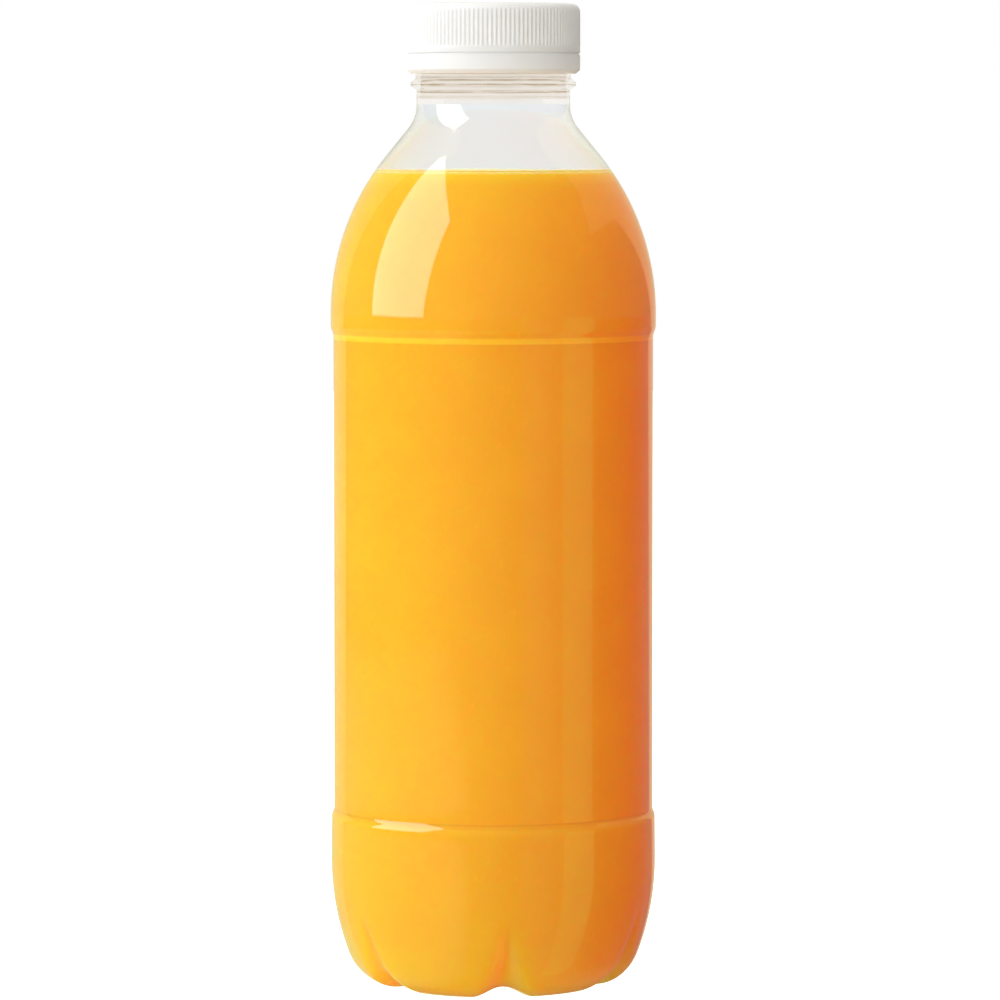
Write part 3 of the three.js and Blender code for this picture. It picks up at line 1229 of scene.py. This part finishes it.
class JUICE_BOTTLE_OT_add_stage(bpy.types.Operator):
    """Add the pale floor, the studio light and the camera"""

    bl_idname = "juice_bottle.add_stage"
    bl_label = "Add stage"

    def execute(self, context):
        settings = context.scene.juice_bottle
        self.add_floor(settings)
        self.add_light(settings.studio)
        self.add_camera(settings.studio)
        context.scene.view_settings.view_transform = "Standard"
        return {"FINISHED"}

    def add_floor(self, settings):
        mesh = bmesh.new()
        bmesh.ops.create_circle(mesh, cap_ends=True, segments=FLOOR_SIDES, radius=FLOOR_R)
        data = bpy.data.meshes.new("floor")
        mesh.to_mesh(data)
        mesh.free()
        data.materials.append(pale_floor(settings.colours, settings.studio))
        floor = bpy.data.objects.new("floor", data)
        bpy.context.scene.collection.objects.link(floor)
        floor.visible_glossy = False
        floor.visible_diffuse = False
        floor.visible_transmission = False
        floor.visible_shadow = False

    def add_light(self, studio):
        """Studio light, another picture of the room for what the bottle mirrors, and plain white
        behind it"""
        world = bpy.data.worlds.new("studio")
        bpy.context.scene.world = world
        recipe = Recipe(world)
        direction = recipe.add("ShaderNodeTexCoord", output="Generated")
        level = self.soft_light(recipe, direction, studio)
        light = recipe.add("ShaderNodeBackground", inputs={"Strength": level})
        mirrored = self.mirrored_room(recipe, direction, studio)
        plain = recipe.add("ShaderNodeBackground", inputs={"Color": WHITE, "Strength": 1})
        glossy = recipe.add("ShaderNodeLightPath", output="Is Glossy Ray")
        seen = recipe.add("ShaderNodeLightPath", output="Is Camera Ray")
        through = recipe.add("ShaderNodeLightPath", output="Is Transmission Ray")
        shown = recipe.add("ShaderNodeMixShader", inputs={0: glossy, 1: light, 2: mirrored})
        inputs = {0: seen.most(through), 1: shown, 2: plain}
        shown = recipe.add("ShaderNodeMixShader", inputs=inputs)
        recipe.add("ShaderNodeOutputWorld", inputs={"Surface": shown})

    def soft_light(self, recipe, direction, studio):
        """Brightness of the light that falls on the bottle: soft, from its own side, and from behind"""
        slanted = recipe.dot(direction, Vector(studio.light_side).normalized())
        key = recipe.dot(direction, Vector(studio.key_side).normalized()).most(0) ** KEY_POWER
        back = recipe.dot(direction, Vector((0, 1, 0))).ramp(*LIT_BEHIND)
        below = recipe.dot(direction, Vector((0, 0, -1))).most(0)
        level = (slanted * studio.slant + studio.light).most(0)
        return level + key * studio.key + back * studio.behind + below * studio.table_light

    def mirrored_room(self, recipe, direction, studio):
        """What the clear plastic mirrors: softbox, backdrop, card, and the dim room around them"""
        softbox = patch(recipe, direction, SOFTBOX)
        backdrop = inside_edges(recipe, direction, BACKDROP_EDGES, INSIDE_BACKDROP)
        backdrop = backdrop.most(patch(recipe, direction, TONGUE))
        level = recipe.dot(direction, Vector((0, 0, 1)))
        rightward = recipe.dot(direction, Vector((1, 0, 0)))
        low = (1 - level.ramp(*HORIZON)) * (1 - backdrop)
        right = rightward.ramp(*BACKDROP_HALVES)
        pale = (1 - right) * studio.backdrop_left + right * studio.backdrop_right
        leftward = recipe.dot(direction, Vector((-1, 0, 0)))
        glint = leftward.ramp(*GLINT_LEFT) * level.ramp(*GLINT_DOWN) * (1 - backdrop)
        strength = low * studio.table_left + (1 - low) * studio.room
        strength = strength * (1 - backdrop) + pale * backdrop
        strength = strength * (1 - softbox) + softbox * studio.softbox
        right_table = rightward.ramp(*TABLE_RIGHT) * low
        card = patch(recipe, direction, CARD)
        colour = recipe.mix(backdrop, WHITE, opaque(studio.backdrop_tint))
        colour = recipe.mix(right_table, colour, opaque(studio.table_right))
        colour = recipe.mix(card, colour, opaque(studio.card))
        colour = recipe.mix(glint, colour, opaque(studio.table_glint))
        strength = strength.most(card).most(right_table).most(glint)
        return recipe.add("ShaderNodeBackground", inputs={"Color": colour, "Strength": strength})

    def add_camera(self, studio):
        data = bpy.data.cameras.new("camera")
        data.lens = studio.lens
        data.sensor_width = CAMERA_SENSOR
        camera = bpy.data.objects.new("camera", data)
        camera.location = studio.camera_place
        camera.rotation_euler = (RIGHT_ANGLE - studio.camera_pitch, 0, 0)
        bpy.context.scene.collection.objects.link(camera)
        bpy.context.scene.camera = camera


class JUICE_BOTTLE_PT_panel(bpy.types.Panel):
    """Lists the pieces of the juice bottle"""

    bl_idname = "JUICE_BOTTLE_PT_panel"
    bl_label = "Juice bottle"
    bl_space_type = "VIEW_3D"
    bl_region_type = "UI"
    bl_category = "Juice bottle"

    def draw(self, context):
        settings = context.scene.juice_bottle
        for group in (settings.bottle, settings.closure, settings.colours, settings.studio):
            box = self.layout.box()
            for name in group.bl_rna.properties.keys():
                if name not in {"rna_type", "name"}:
                    box.prop(group, name)
        for operator in OPERATORS:
            self.layout.operator(operator.bl_idname)


OPERATORS = (
    JUICE_BOTTLE_OT_add_shell,
    JUICE_BOTTLE_OT_add_juice,
    JUICE_BOTTLE_OT_add_cap,
    JUICE_BOTTLE_OT_add_band,
    JUICE_BOTTLE_OT_add_stage,
)
CLASSES = (
    BottleSizes,
    ClosureSizes,
    FinishColours,
    StudioSettings,
    JuiceBottleSettings,
    *OPERATORS,
    JUICE_BOTTLE_PT_panel,
)


def register():
    for each in CLASSES:
        bpy.utils.register_class(each)
    bpy.types.Scene.juice_bottle = PointerProperty(type=JuiceBottleSettings)


def unregister():
    del bpy.types.Scene.juice_bottle
    for each in reversed(CLASSES):
        bpy.utils.unregister_class(each)


def main():
    register()
    bpy.ops.juice_bottle.add_shell()
    bpy.ops.juice_bottle.add_juice()
    bpy.ops.juice_bottle.add_cap()
    bpy.ops.juice_bottle.add_band()
    bpy.ops.juice_bottle.add_stage()


if __name__ == "__main__":
    main()
